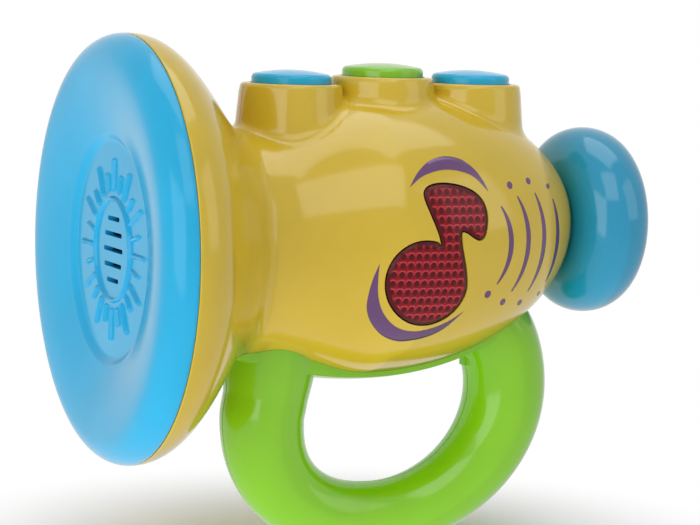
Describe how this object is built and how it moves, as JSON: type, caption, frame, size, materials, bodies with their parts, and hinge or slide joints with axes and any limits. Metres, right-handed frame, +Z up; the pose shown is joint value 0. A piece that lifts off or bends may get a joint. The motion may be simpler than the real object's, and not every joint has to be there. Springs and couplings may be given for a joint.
{
  "type": "toy trumpet",
  "caption": "Toddler's toy trumpet with flared bell, press-down keys on round towers, lit note-shaped window, cup mouthpiece and ring handle.",
  "frame": {"origin": "under the middle of the trumpet's length, on its middle plane, level with the bottom of the ring handle", "axes": "+X from the bell to the mouthpiece, +Z up toward the keys, +Y away from the side with the note window"},
  "size_m": [0.1924, 0.14, 0.1747],
  "materials": {
    "yellow_plastic": "smooth moulded plastic, deep warm yellow",
    "blue_plastic": "smooth moulded plastic, sky blue",
    "green_plastic": "smooth moulded plastic, bright leaf green",
    "red_lens": "clear red moulded plastic with a prismatic back",
    "white_plastic": "plain white moulded plastic",
    "black_plastic": "black moulded plastic",
    "board": "green lacquered circuit board",
    "steel": "plated steel",
    "magnet": "dark pressed magnet and yoke",
    "paper_cone": "black pressed paper",
    "cell_wrap": "plain dark wrap on a steel can",
    "red_wire": "red insulated wire",
    "black_wire": "black insulated wire",
    "lamp": "clear red diode lens"
  },
  "bodies": {
    "trumpet": {"battery_cover": "yellow_plastic", "battery_lead_black": "black_wire", "battery_lead_red": "red_wire", "battery_tray": "black_plastic", "bell_cap": "blue_plastic", "body_far": "yellow_plastic", "body_near": "yellow_plastic", "capacitor": "steel", "case_screw_1": "steel", "case_screw_2": "steel", "case_screw_3": "steel", "case_screw_4": "steel", "cell_lower": "cell_wrap", "cell_upper": "cell_wrap", "contact_bridge": "steel", "contact_negative": "steel", "contact_positive": "steel", "cover_screw": "steel", "handle_far": "green_plastic", "handle_near": "green_plastic", "handle_screw_1": "steel", "handle_screw_2": "steel", "handle_screw_3": "steel", "key_board": "board", "key_lead": "black_wire", "key_spring_1": "steel", "key_spring_2": "steel", "key_spring_3": "steel", "key_switch_1": "black_plastic", "key_switch_2": "black_plastic", "key_switch_3": "black_plastic", "lamp_board": "board", "lamp_lead": "red_wire", "lamp_reflector": "white_plastic", "mouthpiece": "blue_plastic", "note_lens": "red_lens", "power_switch": "steel", "sound_board": "board", "sound_chip": "black_plastic", "speaker_cone": "paper_cone", "speaker_frame": "steel", "speaker_lead_black": "black_wire", "speaker_lead_red": "red_wire", "speaker_magnet": "magnet", "speaker_retainer": "white_plastic", "speaker_screw_1": "steel", "speaker_screw_2": "steel", "speaker_screw_3": "steel", "switch_lead_red": "red_wire", "window_lamp_1": "lamp", "window_lamp_2": "lamp"},
    "power_knob": {"power_knob": "black_plastic"},
    "push_key_1": {"push_key_1": "blue_plastic"},
    "push_key_2": {"push_key_2": "green_plastic"},
    "push_key_3": {"push_key_3": "blue_plastic"}
  },
  "joints": [
    {"name": "key_1_press", "type": "slide", "parent": "trumpet", "child": "push_key_1", "axis": [0, 0, -1], "range_m": [0, 0.003], "stiffness_N_per_m": 200, "springref_m": -0.004, "deforming": ["key_spring_1"]},
    {"name": "key_2_press", "type": "slide", "parent": "trumpet", "child": "push_key_2", "axis": [0, 0, -1], "range_m": [0, 0.003], "stiffness_N_per_m": 200, "springref_m": -0.004, "deforming": ["key_spring_2"]},
    {"name": "key_3_press", "type": "slide", "parent": "trumpet", "child": "push_key_3", "axis": [0, 0, -1], "range_m": [0, 0.003], "stiffness_N_per_m": 200, "springref_m": -0.004, "deforming": ["key_spring_3"]},
    {"name": "power_slide", "type": "slide", "parent": "trumpet", "child": "power_knob", "axis": [1, 0, 0], "range_m": [0, 0.004]}
  ]
}
